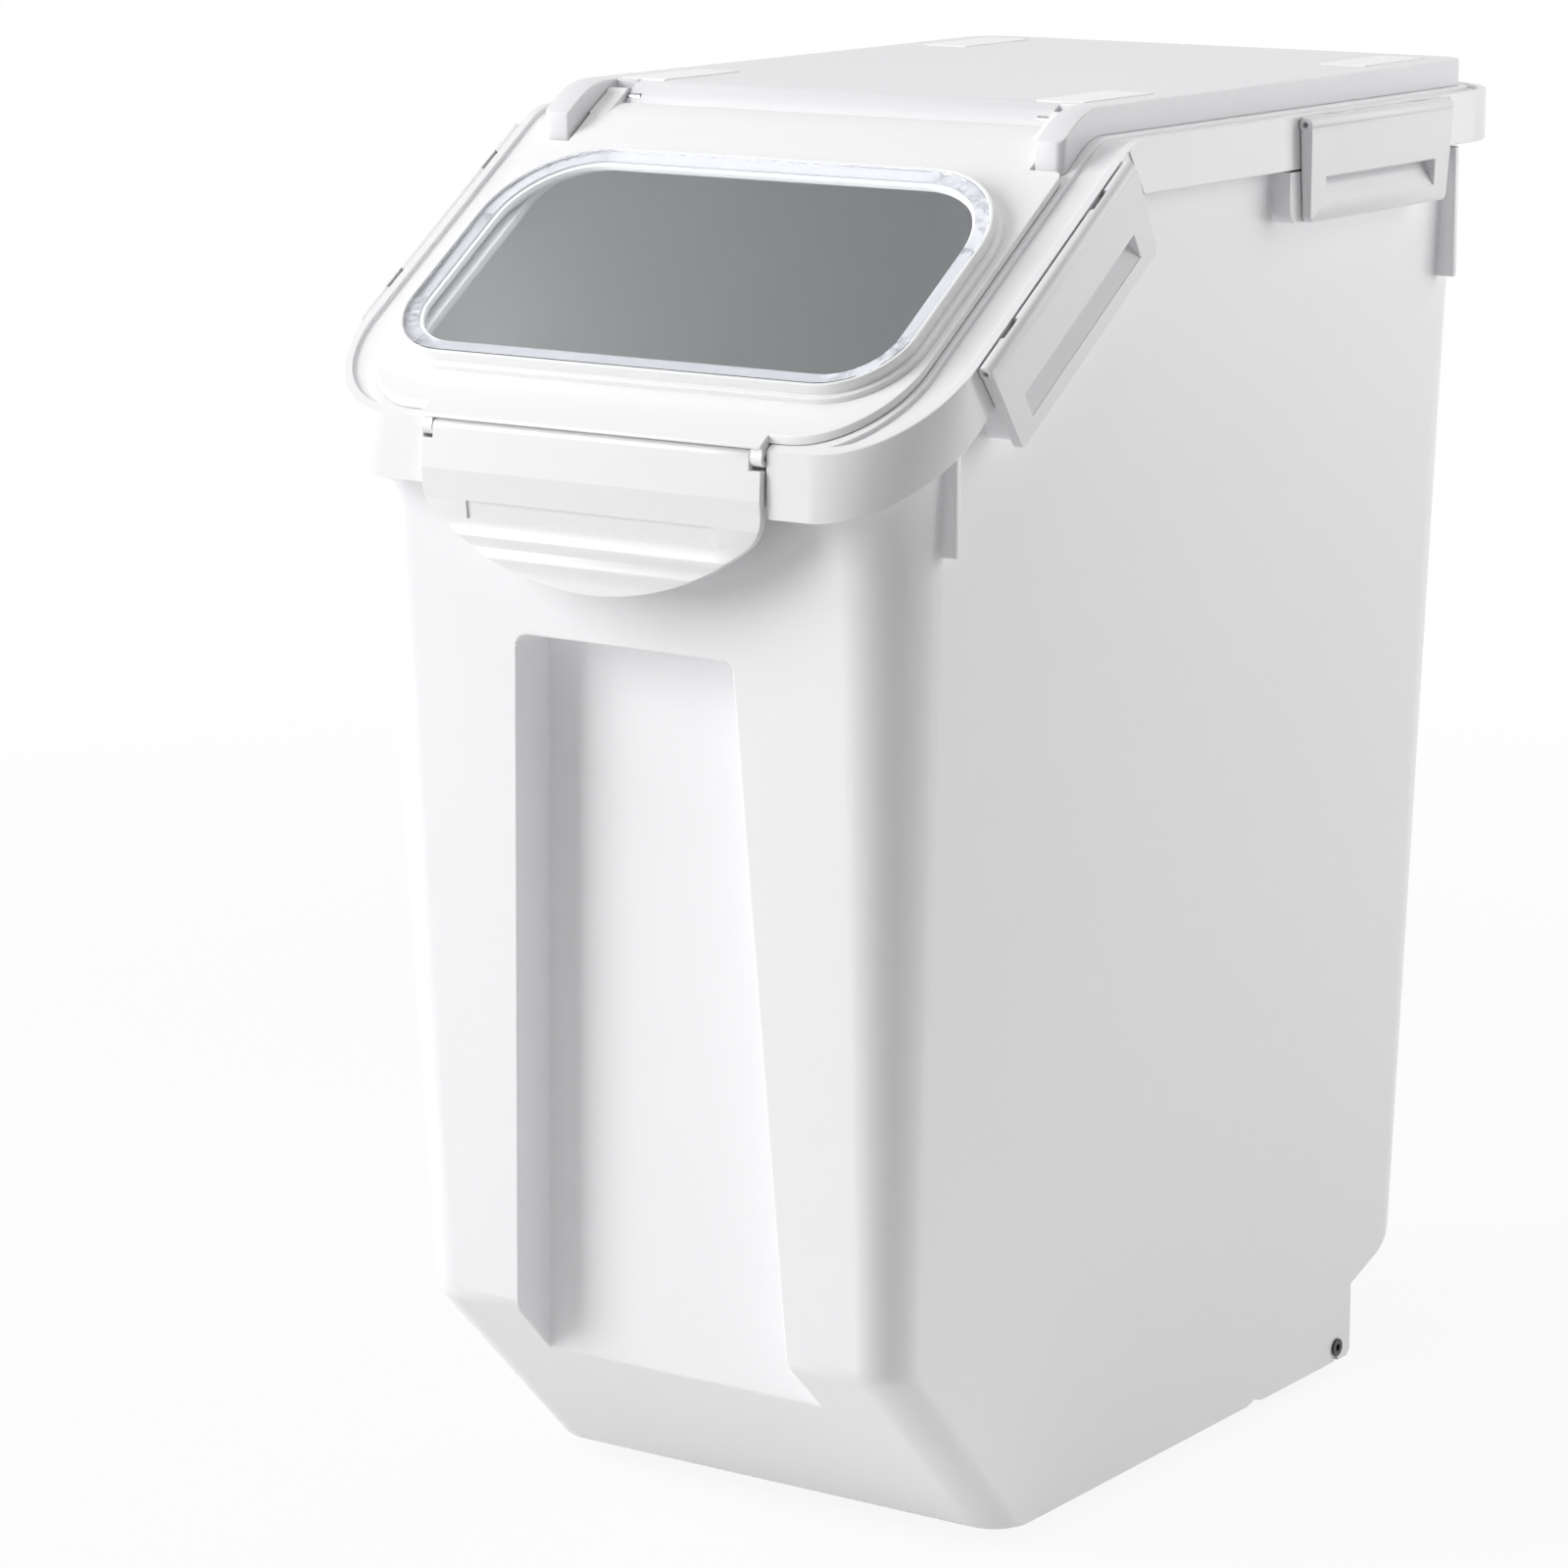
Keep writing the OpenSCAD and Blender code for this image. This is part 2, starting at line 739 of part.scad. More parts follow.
module lid_frame() {
  color([0.96, 0.96, 0.97])
    union() {
      difference() {
        union() {
          intersection() {
            upright()
              frame_plan(0);
            slab(-plate_t, 0);
          }
          intersection() {
            upright()
              difference() {
                frame_plan(0);
                frame_plan(skirt_t);
              }
            slab(-skirt_h, 0);
          }
          intersection() {
            upright()
              difference() {
                locate_plan(0);
                locate_plan(locate_t);
              }
            slab(-locate_h, -plate_t / 2);
          }
        }
        intersection() {
          upright()
            gutter_plan();
          slab(-gutter_depth, 5);
        }
        on_slope()
          translate([0, 0, -30])
            linear_extrude(60)
              mouth_plan(0);
        on_slope()
          translate([0, 0, -mouth_gasket_groove])
            linear_extrude(10)
              difference() {
                mouth_plan(mouth_gasket_out + mouth_gasket_w);
                mouth_plan(mouth_gasket_out);
              }
        translate([-flap_half - part_gap, y_front - 1, 0])
          cube([flap_w + 2 * part_gap, seat_y + 1 - y_front, FAR]);
        on_each_latch(false)
          latch_recess_cut();
        on_each_latch(true)
          latch_recess_cut();
      }
      flap_seat();
      on_each_latch(false)
        side_latch_lugs();
      on_each_latch(true)
        side_latch_lugs();
    }
}

module mouth_gasket() {
  side_play = 0.2;
  color([0.86, 0.86, 0.88])
    on_slope()
      translate([0, 0, -mouth_gasket_groove])
        linear_extrude(mouth_gasket_groove + lid_gap - seat_gap)
          difference() {
            mouth_plan(mouth_gasket_out + mouth_gasket_w - side_play);
            mouth_plan(mouth_gasket_out + side_play);
          }
}

// ---- Rear cover ----

pad_inset = 19;

module on_each_pad() {
  for (side = [-1, 1])
    for (y = [seam_y + 9 + pad_d / 2, cover_rear_y - 15 - pad_d / 2])
      translate([side * (cover_w / 2 - pad_inset), y, 0])
        children();
}

module top_cover() {
  notch_y = hinge_y + knuckle_r + 1.2;
  color([0.93, 0.93, 0.94])
    difference() {
      intersection() {
        upright()
          rounded_plan(cover_w / 2, ear_end_y, cover_rear_y, 3, cover_r);
        slab(0, cover_rise);
      }
      // Between the ears the cover stops at the lid seam
      translate([-ear_half, ear_end_y - 1, 0])
        cube([ear_gap_w, ear_len + 1, FAR]);
      // Hinge notches
      for (side = [-1, 1])
        translate([side * (ear_half - notch_w / 2) - notch_w / 2, seam_y - 1, 0])
          cube([notch_w, notch_y + 1 - seam_y, FAR]);
      // Round front lip
      difference() {
        translate([-lip_half, seam_y - 1, ledge_z + cover_rise - lip_r])
          cube([lip_w, lip_r + 1, 2 * lip_r]);
        translate([0, seam_y + lip_r, ledge_z + cover_rise - lip_r])
          rotate([0, 90, 0])
            cylinder(r = lip_r, h = lip_w + 2, center = true);
      }
      // Hollow underside
      translate([0, 0, ledge_z - 1])
        linear_extrude(cover_rise - cover_t + 1)
          rounded_plan(cover_w / 2 - cover_t, notch_y + cover_t, cover_rear_y - cover_t, 4, cover_r - cover_t);
      hinge_bores();
      on_each_pad()
        translate([0, 0, ledge_z + cover_rise - pad_t + 0.4])
          linear_extrude(10)
            square([pad_w, pad_d], center = true);
    }
}

// Blind bores from the notches into the ears and into the lip
module hinge_bores() {
  depth = 5;
  for (side = [-1, 1])
    translate([side * (ear_half + lip_half) / 2, hinge_y, hinge_z])
      rotate([0, 90, 0])
        cylinder(r = hinge_pin_r, h = notch_w + 2 * depth, center = true);
}

module stacking_pads() {
  color([0.99, 0.99, 0.99])
    on_each_pad()
      translate([0, 0, ledge_z + cover_rise - pad_t + 0.4])
        linear_extrude(pad_t)
          square([pad_w, pad_d], center = true);
}

module hinge_pin(side) {
  color([0.75, 0.76, 0.78])
    translate([side * (ear_half + lip_half) / 2, hinge_y, hinge_z])
      rotate([0, 90, 0])
        cylinder(r = hinge_pin_r, h = notch_w + 9.6, center = true);
}

// ---- Flip lid ----

module lid_outline() {
  wide_end = ear_end_y - 1;
  front_y = y_front + 2.2;
  rounded_plan(lid_half, front_y, wide_end, lid_front_r, 3);
  translate([1 - ear_half, wide_end - 10])
    square([ear_gap_w - 2, seam_y - part_gap - wide_end + 10]);
}

// Arms that rise from the lid's rear edge to the hinge pins
module lid_arms() {
  arm_w = notch_w - 2 * notch_gap;
  for (side = [-1, 1])
    translate([side * (ear_half + lip_half) / 2, 0, 0])
      along_x(arm_w)
        difference() {
          union() {
            translate([hinge_y, hinge_z])
              circle(knuckle_r);
            polygon([[hinge_y, hinge_z + knuckle_r], [seam_y - 9, ledge_z + lid_top - 3.2],
                     [seam_y - 9, ledge_z - 1.2], [seam_y - 4, ledge_z + lid_gap],
                     [hinge_y, hinge_z - knuckle_r]]);
          }
          translate([hinge_y, hinge_z])
            circle(hinge_pin_r + fit_gap);
          polygon(concat(profile(lid_gap), [[FAR, 0], [-FAR, 0]]));
        }
}

// Height of the lid's top surface at y, on the slope
function lid_z(y) = slope_z(y) + lid_top / cos(slope);

// Nose along the lid's front edge, over the front latch's hinge
module lid_nose() {
  back_y = y_front + 4;
  along_x(flap_w)
    polygon([[nose_y, nose_z], [nose_y, lid_z(nose_y) - 0.3], [nose_y + 0.5, lid_z(nose_y + 0.5)],
             [back_y, lid_z(back_y)], [back_y, slope_z(back_y) + lid_gap / cos(slope)],
             [y_front + 1.2, nose_z]]);
}

// Lugs at the ends of the nose that hold the front latch's pin
module lid_front_lugs() {
  for (side = [-1, 1])
    translate([side * flap_lug_x, 0, 0])
      along_x(flap_lug_w)
        difference() {
          union() {
            translate([flap_axis_y, flap_axis_z])
              circle(flap_knuckle_r);
            polygon([[flap_axis_y - 2.2, flap_axis_z + 1], [flap_axis_y - 2.2, nose_z + 0.5],
                     [flap_axis_y + 3, nose_z + 1.6], [flap_axis_y + 2.4, flap_axis_z + 0.5]]);
          }
          translate([flap_axis_y, flap_axis_z])
            circle(flap_pin_r);
        }
}

module flip_lid() {
  step = 3.2;
  step_rise = 4.4;
  color([0.97, 0.97, 0.98])
    union() {
      difference() {
        union() {
          intersection() {
            upright()
              lid_outline();
            slab(lid_gap, lid_top);
          }
          // Plateau around the window, in two steps
          on_slope() {
            translate([0, 0, lid_gap])
              linear_extrude(step_rise - lid_gap)
                window_plan(step);
            translate([0, 0, lid_gap])
              linear_extrude(window_rise - lid_gap)
                window_plan(1.2);
          }
        }
        on_slope() {
          // Hollow under the plateau, the window hole and the pane's rebate
          translate([0, 0, -1])
            linear_extrude(window_rise - pane_t - seal_t - lid_t + 1)
              window_plan(-3);
          translate([0, 0, -1])
            linear_extrude(20)
              window_plan(-6);
          translate([0, 0, window_rise - pane_t - seal_t])
            linear_extrude(20)
              window_plan(0);
        }
      }
      lid_arms();
      lid_nose();
      lid_front_lugs();
    }
}

module window_pane() {
  color([0.85, 0.92, 0.95, 0.35])
    on_slope()
      translate([0, 0, window_rise - pane_t])
        linear_extrude(pane_t)
          window_plan(-0.15);
}

module window_seal() {
  color([0.9, 0.9, 0.92])
    on_slope()
      translate([0, 0, window_rise - pane_t - seal_t])
        linear_extrude(seal_t)
          difference() {
            window_plan(-0.3);
            window_plan(-5);
          }
}

// ---- Front latch ----

// Outline from the front: straight sides, rounded corners and one curved lower edge
module flap_outline() {
  curve_z = flap_axis_z - flap_h + flap_curve_r;
  corner_x = flap_half - flap_corner_r;
  inner_r = flap_curve_r - flap_corner_r;
  corner_z = curve_z - sqrt(inner_r * inner_r - corner_x * corner_x);
  touch_x = corner_x * flap_curve_r / inner_r;
  translate([-flap_half, corner_z])
    square([flap_w, FAR]);
  for (side = [-1, 1])
    translate([side * corner_x, corner_z])
      circle(flap_corner_r);
  intersection() {
    translate([0, curve_z])
      circle(flap_curve_r, $fn = 180);
    translate([-touch_x, curve_z - flap_curve_r - 1])
      square([2 * touch_x, corner_z - curve_z + flap_curve_r + 1 + EPS]);
  }
}

// Cross-section of the latch in (y, z): knuckle, upright plate and two steps that face up for the grip
module flap_section() {
  out_y = y_front - flap_proud;
  low_z = flap_axis_z - flap_h;
  translate([flap_axis_y, flap_axis_z])
    circle(flap_knuckle_r);
  polygon([
    [flap_axis_y - flap_knuckle_r, flap_axis_z], [out_y, flap_axis_z - 12.5],
    [out_y + 0.9, flap_axis_z - 22], [out_y + 1.8, flap_axis_z - 29.5],
    [out_y + 0.6, flap_axis_z - 32.2], [out_y + 1.4, flap_axis_z - 35.6],
    [out_y + 0.2, flap_axis_z - 38.4], [out_y + 0.8, flap_axis_z - 42],
    [out_y, low_z], [out_y + flap_t, low_z],
    [out_y + 1.2 + flap_t, flap_axis_z - 40], [out_y + 1.8 + flap_t, flap_axis_z - 29.5],
    [out_y + 0.9 + flap_t, flap_axis_z - 22], [out_y + flap_t, flap_axis_z - 12.5],
    [flap_axis_y - flap_knuckle_r + flap_t, flap_axis_z]
  ]);
}

// Hook under the frame's sloped edge
module flap_hook() {
  slant = tan(seat_chamfer_angle);
  drop = hook_gap / cos(seat_chamfer_angle);
  tip_y = seat_y + seat_chamfer - 0.5;
  tip_z = seat_low_z + 0.5 * slant - drop;
  root_y = y_front + 0.2;
  along_x(hook_w)
    polygon([
      [root_y, tip_z - 5], [tip_y, tip_z - 3.2], [tip_y, tip_z],
      [tip_y - 2.2, tip_z + 2.2 * slant], [root_y, tip_z + 2.2 * slant + 1]
    ]);
}

module front_latch() {
  label_w = 92;
  label_h = 6;
  color([0.97, 0.97, 0.98])
    difference() {
      union() {
        intersection() {
          along_x(flap_w)
            flap_section();
          translate([0, y_front + 20, 0])
            rotate([90, 0, 0])
              linear_extrude(60)
                flap_outline();
        }
        flap_hook();
      }
      for (side = [-1, 1])
        translate([side * (flap_lug_x + part_gap), 0, 0])
          along_x(flap_lug_w + 3 * part_gap)
            translate([flap_axis_y - flap_knuckle_r - 2 * part_gap, flap_axis_z - flap_knuckle_r - 2 * part_gap])
              square([2 * flap_knuckle_r + 4 * part_gap, 12]);
      translate([0, flap_axis_y, flap_axis_z])
        rotate([0, 90, 0])
          cylinder(r = flap_pin_r + fit_gap, h = flap_w + 2, center = true);
      // Shallow bare panel
      translate([-label_w / 2, y_front - flap_proud - 9.5, flap_axis_z - 28])
        cube([label_w, 10.5, label_h]);
    }
}

module front_latch_pin() {
  color([0.75, 0.76, 0.78])
    translate([0, flap_axis_y, flap_axis_z])
      rotate([0, 90, 0])
        cylinder(r = flap_pin_r, h = flap_w - 3, center = true);
}

// ---- Side latches ----

// The wedge behind the finger slot, grown by a gap where the catch block is cut for it
module latch_bead(gap) {
  len = slot_len + 2 * bead_wall + 2 * gap;
  low_u = -latch_recess / 2 - gap;
  tip_u = latch_mid_t() - slot_depth - bead_wall - gap;
  top = slot_top_w + bead_wall + gap;
  low = slot_top_w - slot_h - gap;
  rotate([90, 0, 0])
    linear_extrude(len, center = true)
      polygon([[6, top], [tip_u, top], [tip_u, top - 1.6], [low_u, low], [6, low]]);
}

// Thickness of the latch at the top of its finger slot
function latch_mid_t() =
  latch_t + (latch_low_t - latch_t) * (latch_shoulder_w - slot_top_w) / (latch_shoulder_w + latch_h);

// Outline along the latch: slightly narrower at its lower edge
module latch_outline() {
  half = latch_len / 2;
  polygon([[-half, 0], [half, 0], [half, latch_shoulder_w], [half - latch_taper, 1.5 - latch_h],
           [half - latch_taper - 1.5, -latch_h], [latch_taper + 1.5 - half, -latch_h],
           [latch_taper - half, 1.5 - latch_h], [-half, latch_shoulder_w]]);
}

// Cross-section: a round knuckle, a shoulder and a plate that thins towards its lower edge
module latch_section() {
  translate([latch_axis_u, latch_axis_w])
    circle(latch_knuckle_r);
  polygon([
    [latch_axis_u + latch_knuckle_r * cos(42), latch_axis_w + latch_knuckle_r * sin(42)],
    [latch_t, latch_shoulder_w], [latch_low_t, -latch_h], [0, -latch_h],
    [0, latch_axis_w - 0.9], [latch_axis_u, latch_axis_w]
  ]);
}

// Room inside the knuckle for a lug, and behind it for the lug's neck as the latch opens
module lug_pocket() {
  reach = 4.7;
  translate([latch_axis_u, latch_axis_w]) {
    circle(latch_lug_r + lug_gap);
    intersection() {
      circle(reach);
      polygon([[0, 0], 2 * reach * [cos(85), sin(85)], 2 * reach * [cos(135), sin(135)],
               2 * reach * [cos(200), sin(200)], 2 * reach * [cos(262), sin(262)]]);
    }
  }
}

module side_latch(side, flat) {
  mid_t = latch_mid_t();
  color([0.92, 0.92, 0.93])
    on_latch(side, flat)
      difference() {
        union() {
          intersection() {
            rotate([90, 0, 0])
              linear_extrude(latch_len + 2, center = true)
                latch_section();
            translate([-10, 0, 0])
              rotate([90, 0, 90])
                linear_extrude(30)
                  latch_outline();
          }
          intersection() {
            latch_bead(0);
            translate([-15, -FAR / 2, -FAR])
              cube([15 + latch_low_t, FAR, FAR]);
          }
        }
        // Finger slot: deep at its top edge, running out at its lower edge
        rotate([90, 0, 0])
          linear_extrude(slot_len, center = true)
            polygon([[8, slot_top_w], [mid_t - slot_depth, slot_top_w], [mid_t - slot_depth, slot_top_w - 1.2],
                     [mid_t - 0.6, slot_top_w - slot_h], [8, slot_top_w - slot_h]]);
        for (end = [-1, 1])
          translate([0, end * latch_lug_v, 0])
            rotate([90, 0, 0])
              linear_extrude(latch_lug_len + 2 * part_gap, center = true)
                lug_pocket();
        translate([latch_axis_u, 0, latch_axis_w])
          rotate([90, 0, 0])
            cylinder(r = latch_pin_r + fit_gap, h = latch_len + 4, center = true);
      }
}

module latch_pin(side, flat) {
  color([0.75, 0.76, 0.78])
    on_latch(side, flat)
      translate([latch_axis_u, 0, latch_axis_w])
        rotate([90, 0, 0])
          cylinder(r = latch_pin_r, h = latch_len - 4, center = true);
}

tub();
foot(-1);  // foot_left
foot(1);  // foot_right
axle(-1);  // axle_left
axle(1);  // axle_right
wheel_hub(-1);  // wheel_hub_left
wheel_hub(1);  // wheel_hub_right
tyre(-1);  // tyre_left
tyre(1);  // tyre_right
rim_gasket();
lid_frame();
mouth_gasket();
top_cover();
stacking_pads();
hinge_pin(-1);  // hinge_pin_left
hinge_pin(1);  // hinge_pin_right
flip_lid();
window_pane();
window_seal();
front_latch();
front_latch_pin();
side_latch(-1, false);  // latch_slant_left
side_latch(1, false);  // latch_slant_right
side_latch(-1, true);  // latch_flat_left
side_latch(1, true);  // latch_flat_right
latch_pin(-1, false);  // latch_pin_slant_left
latch_pin(1, false);  // latch_pin_slant_right
latch_pin(-1, true);  // latch_pin_flat_left
latch_pin(1, true);  // latch_pin_flat_right
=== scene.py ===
"""Rice bin with a flip lid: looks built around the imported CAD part.

Metres, +Z up, +Y to the rear, origin on the floor under the middle of the bin.
"""

import json
import math

import bmesh
import bpy
from mathutils import Matrix, Vector
from mathutils.bvhtree import BVHTree


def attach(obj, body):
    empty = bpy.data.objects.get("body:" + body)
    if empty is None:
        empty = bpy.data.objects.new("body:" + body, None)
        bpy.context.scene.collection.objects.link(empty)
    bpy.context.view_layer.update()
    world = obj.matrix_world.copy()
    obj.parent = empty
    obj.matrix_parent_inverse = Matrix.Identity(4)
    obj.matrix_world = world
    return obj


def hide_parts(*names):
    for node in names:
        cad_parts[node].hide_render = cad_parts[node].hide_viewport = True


MM = 0.001

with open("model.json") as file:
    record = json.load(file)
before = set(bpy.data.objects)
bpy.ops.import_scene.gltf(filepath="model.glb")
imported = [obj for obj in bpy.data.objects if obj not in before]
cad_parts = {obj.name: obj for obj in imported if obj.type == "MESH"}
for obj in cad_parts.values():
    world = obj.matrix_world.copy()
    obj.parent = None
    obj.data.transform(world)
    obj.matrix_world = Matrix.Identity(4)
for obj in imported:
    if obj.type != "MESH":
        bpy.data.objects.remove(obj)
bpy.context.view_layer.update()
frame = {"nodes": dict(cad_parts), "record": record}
nodes = frame["nodes"]
scene = bpy.context.scene

SUBPARTS = frame["record"]["subparts"]
JOINTS = frame["record"]["behaviour"]["joints"]
BODIES = frame["record"]["behaviour"]["bodies"]
SLOT_OF = {part["node"]: part["material_slot"] for part in SUBPARTS}
BODY_OF = {node: body for body, names in BODIES.items() for node in names}


# ---- Materials ----

NOISE_LOW, NOISE_HIGH = 0.3, 0.7  # the stretch of a noise value that spread() maps
NOISE_ROUGHNESS = 0.55

# Moulded plastic and rubber. Noise scales are in cycles per metre.
FLOW_SCALE = 9
GLOSS_SCALE = 60
GRAIN_SCALE = 900
WAVE_SCALE = 26
WAVE_SHARE = 3.0  # height of the slow waves against the grain
BUMP_STRENGTH = 0.35
GLOSS_SPREAD = 0.06  # how far the roughness goes up and down, as a share of it
MOULDED_SPECULAR = 0.45

# Drawn steel
DRAW_SCALE = 420
STEEL_DARK, STEEL_LIGHT = (0.36, 0.36, 0.38), (0.46, 0.46, 0.47)
STEEL_ROUGH = (0.22, 0.34)

# The window pane
PANE_SCALE = 30
PANE_BUMP = 0.05
PANE_WAVE = 0.02 * MM
PANE_GLOSS_SPREAD = 0.3
PANE_IOR = 1.46


def new_material(name):
    mat = bpy.data.materials.new(name)
    mat.use_nodes = True
    tree = mat.node_tree
    tree.nodes.clear()
    return mat, tree


def add(tree, kind, **values):
    node = tree.nodes.new(kind)
    for key, value in values.items():
        setattr(node, key, value)
    return node


def noise(tree, coords, scale, detail):
    node = add(tree, "ShaderNodeTexNoise")
    node.inputs["Scale"].default_value = scale
    node.inputs["Detail"].default_value = detail
    node.inputs["Roughness"].default_value = NOISE_ROUGHNESS
    tree.links.new(coords, node.inputs["Vector"])
    return node.outputs["Fac"]


def spread(tree, value, low, high):
    """Maps a noise value to a range."""
    node = add(tree, "ShaderNodeMapRange")
    node.inputs["From Min"].default_value = NOISE_LOW
    node.inputs["From Max"].default_value = NOISE_HIGH
    node.inputs["To Min"].default_value = low
    node.inputs["To Max"].default_value = high
    tree.links.new(value, node.inputs["Value"])
    return node.outputs["Result"]


def mixed(tree, factor, a, b):
    node = add(tree, "ShaderNodeMix", data_type="RGBA")
    node.inputs["A"].default_value = (*a, 1)
    node.inputs["B"].default_value = (*b, 1)
    tree.links.new(factor, node.inputs["Factor"])
    return node.outputs["Result"]


def bumped(tree, bsdf, height, strength, distance):
    node = add(tree, "ShaderNodeBump")
    node.inputs["Strength"].default_value = strength
    node.inputs["Distance"].default_value = distance
    tree.links.new(height, node.inputs["Height"])
    tree.links.new(node.outputs["Normal"], bsdf.inputs["Normal"])


def moulded(name, color, rough=0.38, grain=0.02, tint=0.008):
    """Injection-moulded plastic or rubber: faint flow mottling, uneven gloss and a fine grain.

    grain is the height of the grain in mm. tint is how much darker the mottling gets.
    """
    mat, tree = new_material(name)
    out = add(tree, "ShaderNodeOutputMaterial")
    bsdf = add(tree, "ShaderNodeBsdfPrincipled")
    coords = add(tree, "ShaderNodeTexCoord").outputs["Object"]
    flow = noise(tree, coords, FLOW_SCALE, 3)
    darker = tuple(channel * (1 - tint) for channel in color)
    tree.links.new(mixed(tree, spread(tree, flow, 0, 1), darker, color),
                   bsdf.inputs["Base Color"])
    gloss = noise(tree, coords, GLOSS_SCALE, 2)
    tree.links.new(spread(tree, gloss, rough * (1 - GLOSS_SPREAD), rough * (1 + GLOSS_SPREAD)),
                   bsdf.inputs["Roughness"])
    fine = noise(tree, coords, GRAIN_SCALE, 2)
    slow = noise(tree, coords, WAVE_SCALE, 2)
    total = add(tree, "ShaderNodeMath", operation="MULTIPLY_ADD")
    total.inputs[1].default_value = WAVE_SHARE
    tree.links.new(slow, total.inputs[0])
    tree.links.new(fine, total.inputs[2])
    bumped(tree, bsdf, total.outputs[0], BUMP_STRENGTH, grain * MM)
    bsdf.inputs["Specular IOR Level"].default_value = MOULDED_SPECULAR
    tree.links.new(bsdf.outputs["BSDF"], out.inputs["Surface"])
    return mat


def drawn_steel(name):
    mat, tree = new_material(name)
    out = add(tree, "ShaderNodeOutputMaterial")
    bsdf = add(tree, "ShaderNodeBsdfPrincipled")
    coords = add(tree, "ShaderNodeTexCoord").outputs["Object"]
    lines = noise(tree, coords, DRAW_SCALE, 3)
    tree.links.new(mixed(tree, spread(tree, lines, 0, 1), STEEL_DARK, STEEL_LIGHT),
                   bsdf.inputs["Base Color"])
    tree.links.new(spread(tree, lines, *STEEL_ROUGH), bsdf.inputs["Roughness"])
    bsdf.inputs["Metallic"].default_value = 1.0
    tree.links.new(bsdf.outputs["BSDF"], out.inputs["Surface"])
    return mat


def clear_plastic(name, color, rough):
    """Clear moulded plastic with a faint waviness. It lets lamps shine on what is behind it."""
    mat, tree = new_material(name)
    out = add(tree, "ShaderNodeOutputMaterial")
    bsdf = add(tree, "ShaderNodeBsdfPrincipled")
    coords = add(tree, "ShaderNodeTexCoord").outputs["Object"]
    wave = noise(tree, coords, PANE_SCALE, 2)
    low, high = rough * (1 - PANE_GLOSS_SPREAD), rough * (1 + PANE_GLOSS_SPREAD)
    tree.links.new(spread(tree, wave, low, high), bsdf.inputs["Roughness"])
    bumped(tree, bsdf, wave, PANE_BUMP, PANE_WAVE)
    bsdf.inputs["Base Color"].default_value = (*color, 1)
    bsdf.inputs["Transmission Weight"].default_value = 1.0
    bsdf.inputs["IOR"].default_value = PANE_IOR
    path = add(tree, "ShaderNodeLightPath")
    clear = add(tree, "ShaderNodeBsdfTransparent")
    clear.inputs["Color"].default_value = (*color, 1)
    choose = add(tree, "ShaderNodeMixShader")
    tree.links.new(path.outputs["Is Shadow Ray"], choose.inputs[0])
    tree.links.new(bsdf.outputs["BSDF"], choose.inputs[1])
    tree.links.new(clear.outputs["BSDF"], choose.inputs[2])
    tree.links.new(choose.outputs[0], out.inputs["Surface"])
    return mat


MATERIALS = {
    "tub_plastic": moulded("tub_plastic", (0.9, 0.9, 0.912), rough=0.34),
    "frame_plastic": moulded("frame_plastic", (0.85, 0.85, 0.86), rough=0.32),
    # cover_plastic is a greyer copy of the white plastic: painted shade that darkens the cover's
    # upward-facing top
    "cover_plastic": moulded("cover_plastic", (0.8, 0.802, 0.815), rough=0.42, grain=0.05),
    "lid_plastic": moulded("lid_plastic", (0.895, 0.895, 0.9), rough=0.3),
    "latch_plastic": moulded("latch_plastic", (0.79, 0.79, 0.802), rough=0.32),
    "pane_plastic": clear_plastic("pane_plastic", (0.97, 0.985, 0.99), 0.03),
    "seal_rubber": moulded("seal_rubber", (0.52, 0.52, 0.555), rough=0.6, grain=0.06),
    "pin_steel": drawn_steel("pin_steel"),
    "axle_plastic": moulded("axle_plastic", (0.03, 0.03, 0.032), rough=0.35, tint=0.2),
    "hub_plastic": moulded("hub_plastic", (0.06, 0.06, 0.065), rough=0.45, tint=0.2),
    "tyre_rubber": moulded("tyre_rubber", (0.03, 0.03, 0.03), rough=0.7, grain=0.15, tint=0.25),
    "foot_rubber": moulded("foot_rubber", (0.75, 0.75, 0.76), rough=0.6, grain=0.08),
}
# Two nodes get a copy of their slot's plastic in another tone, as painted light: the stacking
# pads a lighter one for a painted highlight, the front latch a darker one for painted shade.
PAINTED_LIGHT_COPIES = {
    # lighter than the frame plastic of the pads' slot: painted highlight
    "stacking_pads": moulded("pad_painted_highlight", (0.935, 0.935, 0.94), rough=0.4),
    # darker than the lid plastic of the latch's slot: painted shade
    "front_latch": moulded("catch_painted_shade", (0.825, 0.825, 0.832), rough=0.3),
}


def material_of(node):
    return PAINTED_LIGHT_COPIES.get(node) or MATERIALS[SLOT_OF[node]]


# ---- Dressed copies of CAD nodes ----

FLAT_ANGLE = math.radians(0.6)  # faces that meet at less become one
SHARP_ANGLE = math.radians(24)  # edges that turn by more may be rounded
SMOOTH_ANGLE = math.radians(33)  # faces that meet at less share a normal where they curve
BROAD = 2.4 * MM  # a face is broad when its area over its perimeter is more than this
SHORTEST = 0.6  # edges shorter than this many bevel widths keep their corner
NARROWEST = 1.4  # edges beside a face narrower than this many bevel widths keep it too
BEVEL_STEPS = 3
MERGE = 0.01  # mm; shorter edges close up
LID_MERGE = 0.03  # the flip lid's CAD mesh has thin slivers
LEAST = 0.002  # mm; edges that a bevel leaves shorter than this close up

PANEL_HALF, PANEL_DEPTH = 46.4, 0.6  # mm; the front latch's panel
PANEL_TOP, PANEL_FOOT = 21.7, 27.2  # mm below the latch's axis
PANEL_BESIDE = 3  # mm beside the panel where the plain surface is looked up
PANEL_BEHIND = 1.5  # mm behind that surface where the front's faces end
FACES_FRONT, FACES_REAR = -0.5, 0.9  # a normal's Y, at most and at least
CUT_SNAP = 0.001 * MM

